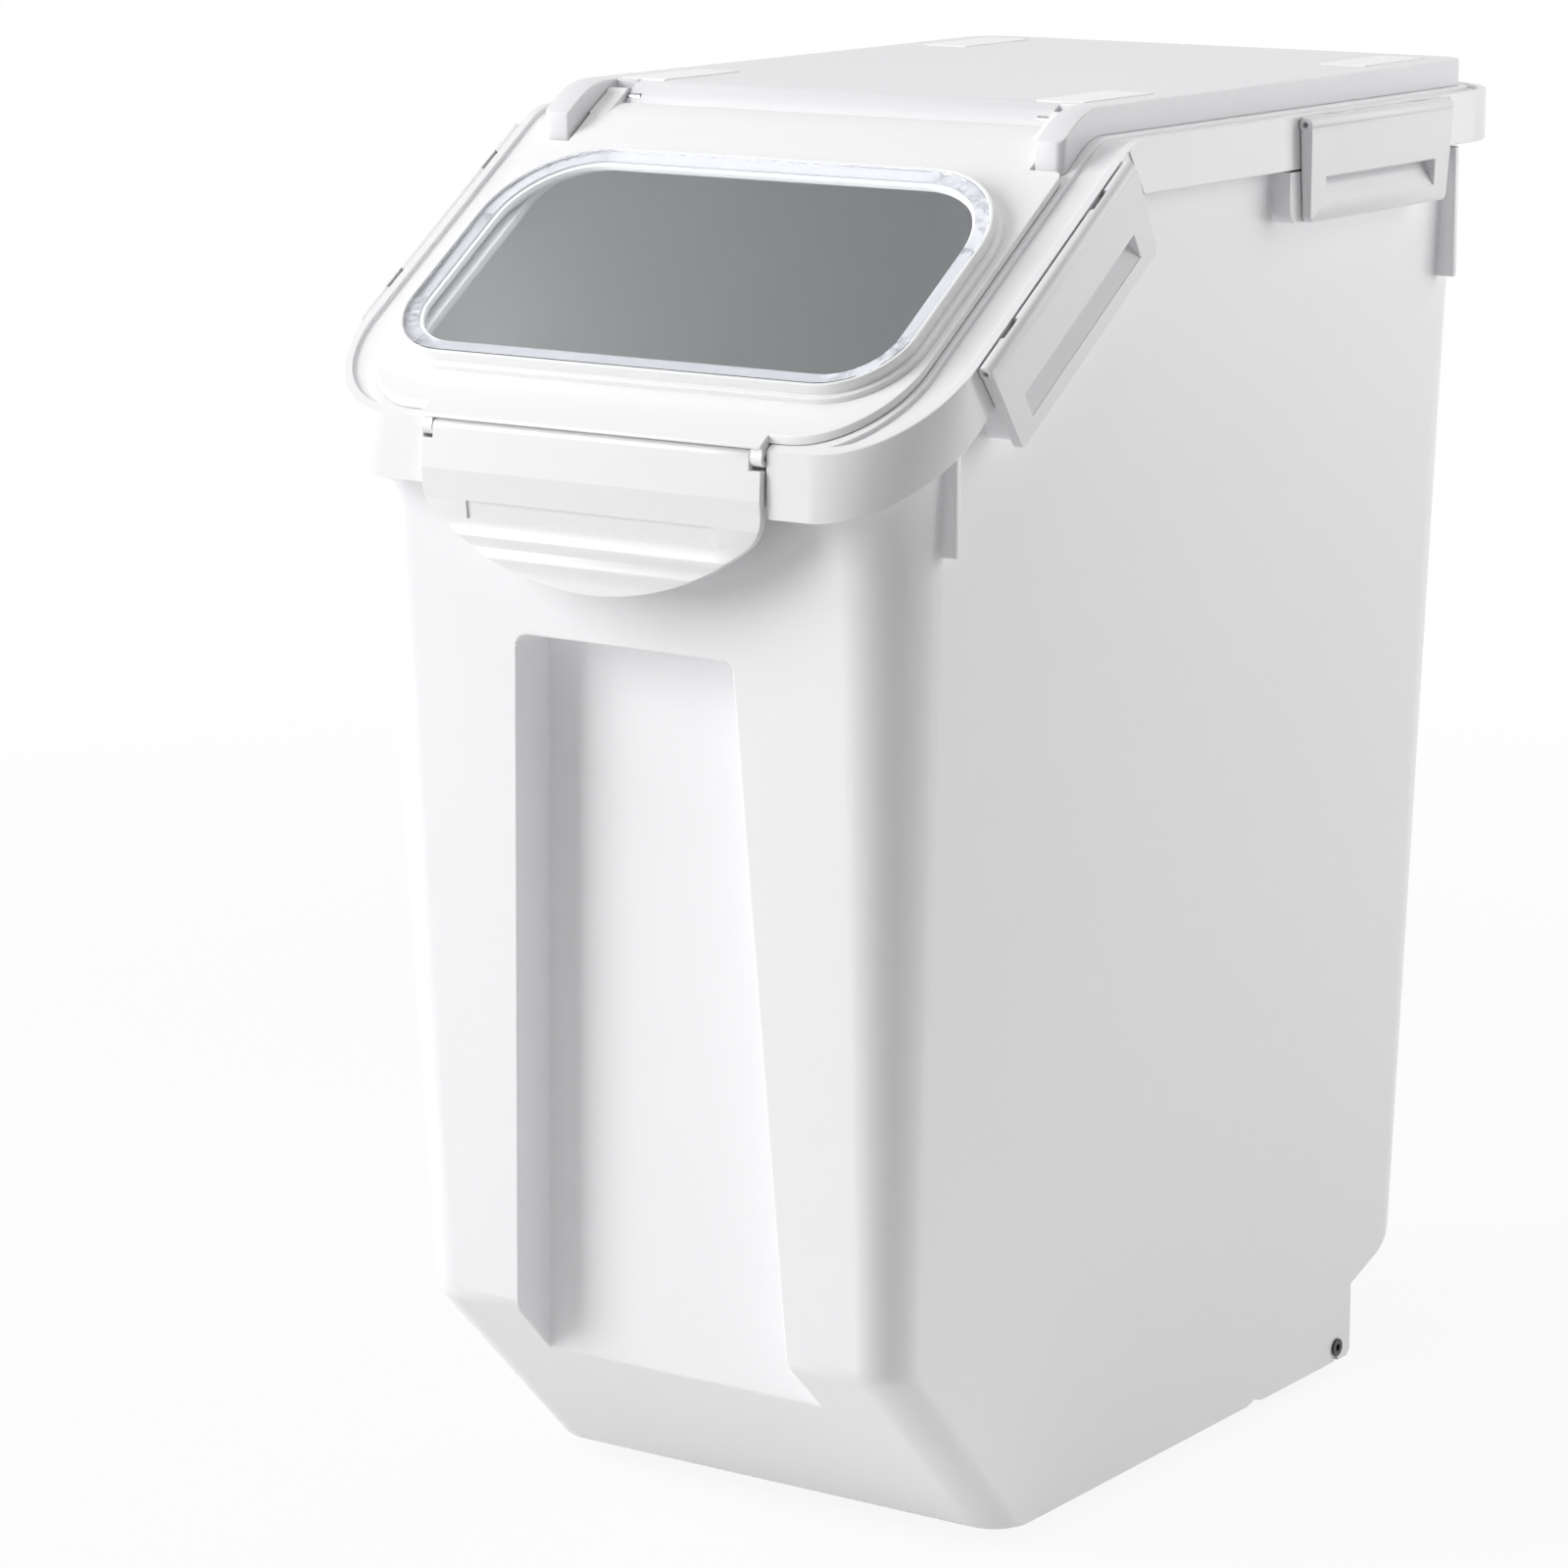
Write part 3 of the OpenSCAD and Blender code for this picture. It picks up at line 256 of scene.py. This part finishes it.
HINGES = [(Vector(joint["pos_m"]) / MM, Vector(joint["axis"]).normalized()) for joint in JOINTS]
LUG_REACH = 3.4  # mm from a joint's axis that bores and lugs take up
KNUCKLE_REACH = 2.3  # the same on a latch
CATCH_REACH, CATCH_DEEP = 60.0, 38.0  # mm from a latch's joint that its catch block takes up


def shade(bm, mesh):
    """Smooth normals on curved stretches, while each broad flat face stays true to its edges."""
    broad = {f.index for f in bm.faces if f.calc_area() / max(f.calc_perimeter(), 1e-9) > BROAD}
    normals = [Vector((0, 0, 1))] * sum(len(f.loops) for f in bm.faces)
    for vert in bm.verts:
        corners = [(loop, loop.face.normal, loop.calc_angle()) for loop in vert.link_loops]
        for loop, normal, _ in corners:
            near = [c for c in corners if c[1].length > 0 and normal.length > 0
                    and normal.angle(c[1]) < SMOOTH_ANGLE]
            flat = [c for c in near if c[0].face.index in broad]
            if flat:
                best = min(flat, key=lambda c: normal.angle(c[1]))
                normals[loop.index] = best[1].copy()
            elif near:
                total = Vector((0, 0, 0))
                for _, other, angle in near:
                    total += other * angle
                normals[loop.index] = total.normalized()
    for polygon in mesh.polygons:
        polygon.use_smooth = True
    mesh.normals_split_custom_set([tuple(n) for n in normals])


def reach(face, start, along):
    """How far a face reaches from the line through start."""
    return max((vert.co - start).cross(along).length for vert in face.verts)


def room(edge):
    """The smaller reach, in mm, of the two faces beside an edge."""
    start = edge.verts[0].co
    along = (edge.verts[1].co - start).normalized()
    return min(reach(face, start, along) for face in edge.link_faces) / MM


def from_hinge(middle):
    """Distance in mm to the nearest joint axis."""
    return min((middle - place).cross(axis).length for place, axis in HINGES)


def outer_edge(edge, middle):
    return edge.is_convex and from_hinge(middle) > LUG_REACH


def latch_edge(edge, middle):
    return edge.is_convex and from_hinge(middle) > KNUCKLE_REACH


def tub_edge(edge, middle):
    """Outer edges away from the catch blocks, whose pockets are cut all round."""
    return outer_edge(edge, middle) and all(
        (middle - place).length > CATCH_REACH
        or (middle - place).cross(axis).length > CATCH_DEEP
        for place, axis in HINGES)


def round_edges(bm, width, test):
    """Rounds the sharp edges that pass the test and have room for the width, in mm."""
    chosen = []
    for edge in bm.edges:
        if len(edge.link_faces) != 2 or edge.calc_face_angle(0.0) < SHARP_ANGLE:
            continue
        length = edge.calc_length() / MM
        middle = (edge.verts[0].co + edge.verts[1].co) / 2 / MM
        if length > SHORTEST * width and room(edge) > NARROWEST * width and test(edge, middle):
            chosen.append(edge)
    bmesh.ops.bevel(bm, geom=chosen, offset=width * MM, offset_type="OFFSET",
                    segments=BEVEL_STEPS, profile=0.5, affect="EDGES", clamp_overlap=False,
                    loop_slide=True)


def put_in_order(bm):
    """Rebuilds bm with its vertices and faces in an order that is the same each run."""
    verts = sorted(bm.verts, key=lambda vert: tuple(vert.co))
    rank = {vert: index for index, vert in enumerate(verts)}
    rings = []
    for face in bm.faces:
        ring = [rank[vert] for vert in face.verts]
        first = ring.index(min(ring))
        rings.append(ring[first:] + ring[:first])
    places = [vert.co.copy() for vert in verts]
    bm.clear()
    verts = [bm.verts.new(place) for place in places]
    for ring in sorted(rings):
        bm.faces.new([verts[index] for index in ring])


def press_panel(bm, axis_z):
    """Presses a shallow panel into the front of a latch whose axis is at height axis_z."""
    tree = BVHTree.FromBMesh(bm)
    half = PANEL_HALF * MM
    low, high = axis_z - PANEL_FOOT * MM, axis_z - PANEL_TOP * MM
    beside = half + PANEL_BESIDE * MM

    def surface(z):
        return tree.ray_cast(Vector((beside, -1, z)), Vector((0, 1, 0)))[0].y

    start, end = surface(low), surface(high)
    behind = max(start, end) + PANEL_BEHIND * MM
    for corner, normal in (((half, 0, 0), (1, 0, 0)), ((-half, 0, 0), (1, 0, 0)),
                           ((0, 0, low), (0, 0, 1)), ((0, 0, high), (0, 0, 1))):
        faces = [f for f in bm.faces
                 if f.normal.y < FACES_FRONT and f.calc_center_median().y < behind]
        edges = list(dict.fromkeys(e for f in faces for e in f.edges))
        verts = list(dict.fromkeys(v for f in faces for v in f.verts))
        bmesh.ops.bisect_plane(bm, geom=faces + edges + verts, dist=CUT_SNAP, plane_co=corner,
                               plane_no=normal)
    inside = []
    for face in bm.faces:
        middle = face.calc_center_median()
        if (abs(middle.x) < half and low < middle.z < high and middle.y < behind
                and face.normal.y < FACES_REAR):
            inside.append(face)
    pressed = bmesh.ops.extrude_face_region(bm, geom=inside)["geom"]
    slope = (end - start) / (high - low)
    for vert in pressed:
        if isinstance(vert, bmesh.types.BMVert):
            vert.co.y = start + slope * (vert.co.z - low) + PANEL_DEPTH * MM
    bmesh.ops.delete(bm, geom=inside, context="FACES")
    bmesh.ops.dissolve_degenerate(bm, dist=MERGE * MM, edges=bm.edges)
    put_in_order(bm)


def dress(node, width, test, merge=MERGE, panel_axis_z=None):
    """A copy of a CAD node with clean faces and rounded edges, which stands for the node.

    width: of the rounded edges, in mm. test takes an edge and its middle in mm. merge: mm.
    panel_axis_z: the height that press_panel takes, for a node with a panel.
    """
    bm = bmesh.new()
    bm.from_mesh(nodes[node].data)
    bmesh.ops.remove_doubles(bm, verts=bm.verts, dist=merge * MM)
    bmesh.ops.dissolve_degenerate(bm, dist=merge * MM, edges=bm.edges)
    bmesh.ops.dissolve_limit(bm, angle_limit=FLAT_ANGLE, verts=bm.verts, edges=bm.edges,
                             use_dissolve_boundaries=False)
    round_edges(bm, width, test)
    short = [e for e in bm.edges if e.calc_length() < LEAST * MM]
    bmesh.ops.dissolve_degenerate(bm, dist=LEAST * MM, edges=short)
    if panel_axis_z is not None:
        press_panel(bm, panel_axis_z)
    bmesh.ops.delete(bm, geom=[e for e in bm.edges if not e.link_faces], context="EDGES")
    bmesh.ops.delete(bm, geom=[v for v in bm.verts if not v.link_faces], context="VERTS")
    bm.normal_update()
    bm.verts.index_update()
    bm.faces.index_update()
    name = node + "_shell"
    mesh = bpy.data.meshes.new(name)
    bm.to_mesh(mesh)
    bm.free()
    bm = bmesh.new()
    bm.from_mesh(mesh)
    shade(bm, mesh)
    bm.free()
    obj = bpy.data.objects.new(name, mesh)
    scene.collection.objects.link(obj)
    mesh.materials.append(material_of(node))
    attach(obj, BODY_OF[node])
    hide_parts(node)


dress("tub", 0.8, tub_edge)
dress("lid_frame", 0.45, outer_edge)
dress("top_cover", 0.6, outer_edge)
dress("flip_lid", 0.3, outer_edge, merge=LID_MERGE)
catch_hinge = next(joint for joint in JOINTS if joint["name"] == "front_catch_hinge")
dress("front_latch", 0.4, latch_edge, panel_axis_z=catch_hinge["pos_m"][2])
for place in ("slant_left", "slant_right", "flat_left", "flat_right"):
    dress("latch_" + place, 0.5, latch_edge)

for node, obj in nodes.items():
    if obj.hide_render:
        continue
    obj.data.materials.clear()
    obj.data.materials.append(material_of(node))


# ---- Floor, light and camera ----

FLOOR_HALF = 12.0
FLOOR_GREY = 0.86
FADE_FROM, FADE_TO = 0.35, 1.6  # metres from the bin's middle over which the floor fades
NEAR_WHITE = 0.9  # share of plain white in the floor beside the bin, 1 far away

AMBIENT = 0.12
AIM = Vector((0, 0, 0.22))  # what the lamps point at

YAW, PITCH = math.radians(34.551), math.radians(11.466)
EYE = (0.95012, -1.47694, 0.59243)
LENS = 123.91
SHIFT_X, SHIFT_Y = 0.00974, -0.0255


def white_for_camera(tree, other, share):
    """Mixes other with plain white for the rays that show the background.

    share: how much white, a number or a socket.
    """
    white = add(tree, "ShaderNodeEmission")
    white.inputs["Color"].default_value = (1, 1, 1, 1)
    white.inputs["Strength"].default_value = 1.0
    path = add(tree, "ShaderNodeLightPath")
    seen = add(tree, "ShaderNodeMath", operation="MAXIMUM")
    tree.links.new(path.outputs["Is Camera Ray"], seen.inputs[0])
    tree.links.new(path.outputs["Is Glossy Ray"], seen.inputs[1])
    seen_or_through = add(tree, "ShaderNodeMath", operation="MAXIMUM")
    tree.links.new(seen.outputs[0], seen_or_through.inputs[0])
    tree.links.new(path.outputs["Is Transmission Ray"], seen_or_through.inputs[1])
    factor = add(tree, "ShaderNodeMath", operation="MULTIPLY")
    tree.links.new(seen_or_through.outputs[0], factor.inputs[0])
    if isinstance(share, float):
        factor.inputs[1].default_value = share
    else:
        tree.links.new(share, factor.inputs[1])
    choose = add(tree, "ShaderNodeMixShader")
    tree.links.new(factor.outputs[0], choose.inputs[0])
    tree.links.new(other, choose.inputs[1])
    tree.links.new(white.outputs[0], choose.inputs[2])
    return choose.outputs[0]


def floor_material():
    """White floor that keeps a soft shadow near the bin and fades to the white background."""
    mat, tree = new_material("floor_white")
    out = add(tree, "ShaderNodeOutputMaterial")
    bsdf = add(tree, "ShaderNodeBsdfDiffuse")
    bsdf.inputs["Color"].default_value = (FLOOR_GREY, FLOOR_GREY, FLOOR_GREY, 1)
    place = add(tree, "ShaderNodeNewGeometry").outputs["Position"]
    distance = add(tree, "ShaderNodeVectorMath", operation="LENGTH")
    tree.links.new(place, distance.inputs[0])
    fade = add(tree, "ShaderNodeMapRange", interpolation_type="SMOOTHSTEP")
    fade.inputs["From Min"].default_value = FADE_FROM
    fade.inputs["From Max"].default_value = FADE_TO
    fade.inputs["To Min"].default_value = NEAR_WHITE
    fade.inputs["To Max"].default_value = 1.0
    tree.links.new(distance.outputs["Value"], fade.inputs["Value"])
    surface = white_for_camera(tree, bsdf.outputs["BSDF"], fade.outputs["Result"])
    tree.links.new(surface, out.inputs["Surface"])
    return mat


floor_mesh = bpy.data.meshes.new("floor")
floor_mesh.from_pydata([(x * FLOOR_HALF, y * FLOOR_HALF, 0)
                        for x, y in ((-1, -1), (1, -1), (1, 1), (-1, 1))], [], [(0, 1, 2, 3)])
floor = bpy.data.objects.new("floor", floor_mesh)
floor.data.materials.append(floor_material())
scene.collection.objects.link(floor)

world = bpy.data.worlds.new("studio")
scene.world = world
world.use_nodes = True
tree = world.node_tree
tree.nodes.clear()
world_out = add(tree, "ShaderNodeOutputWorld")
ambient = add(tree, "ShaderNodeBackground")
ambient.inputs["Color"].default_value = (0.98, 0.985, 1.0, 1)
ambient.inputs["Strength"].default_value = AMBIENT
tree.links.new(white_for_camera(tree, ambient.outputs[0], 1.0), world_out.inputs["Surface"])


def softbox(name, azimuth, elevation, distance, width, height, watts):
    """Angles in degrees. Azimuth 0 is in front (-Y), 90 to the right (+X)."""
    light = bpy.data.lights.new(name, "AREA")
    light.shape = "RECTANGLE"
    light.size = width
    light.size_y = height
    light.energy = watts
    obj = bpy.data.objects.new(name, light)
    a, e = math.radians(azimuth), math.radians(elevation)
    towards = Vector((math.sin(a) * math.cos(e), -math.cos(a) * math.cos(e), math.sin(e)))
    obj.location = AIM + towards * distance
    obj.rotation_euler = (-towards).to_track_quat("-Z", "Y").to_euler()
    scene.collection.objects.link(obj)


softbox("key_front", -46, 22, 2.4, 1.2, 1.8, 51.5)
softbox("fill_right", 136, 20, 1.8, 1.4, 1.6, 18)
softbox("top", 10, 80, 2.2, 1.6, 1.6, 16.5)

camera_data = bpy.data.cameras.new("photo_camera")
camera_data.sensor_width = 36
camera_data.lens = LENS
camera_data.shift_x = SHIFT_X
camera_data.shift_y = SHIFT_Y
camera = bpy.data.objects.new("photo_camera", camera_data)
ahead = Vector((-math.sin(YAW) * math.cos(PITCH), math.cos(YAW) * math.cos(PITCH),
                -math.sin(PITCH)))
across = Vector((math.cos(YAW), math.sin(YAW), 0))
turn = Matrix((across, across.cross(ahead), -ahead)).transposed().to_4x4()
camera.matrix_world = Matrix.Translation(EYE) @ turn
scene.collection.objects.link(camera)
scene.camera = camera
scene.view_settings.view_transform = "Standard"
